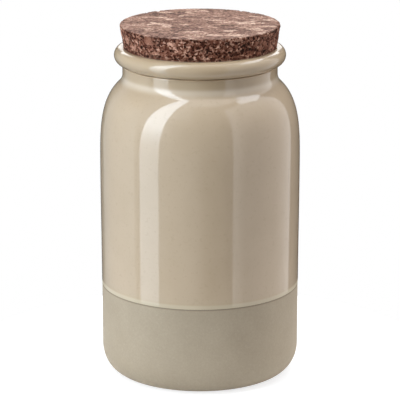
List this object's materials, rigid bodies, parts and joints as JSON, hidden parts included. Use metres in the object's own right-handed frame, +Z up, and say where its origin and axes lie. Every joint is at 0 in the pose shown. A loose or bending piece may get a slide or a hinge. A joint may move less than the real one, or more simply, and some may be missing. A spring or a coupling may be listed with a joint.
{
  "type": "storage jar with cork lid",
  "caption": "Tall stoneware storage jar, glazed above a bare lower band, with a round shoulder, a neck with a rolled rim and a flared cork lid.",
  "frame": {"origin": "centre of the foot face that the jar stands on", "axes": "+Z up along the axis that both pieces are turned about; the object is round, so X and Y are free"},
  "size_m": [0.11, 0.11, 0.1955],
  "materials": {
    "stoneware": "gloss",
    "cork": "matte"
  },
  "bodies": {
    "root": {"jar": "stoneware", "cork_lid": "cork"}
  },
  "joints": []
}
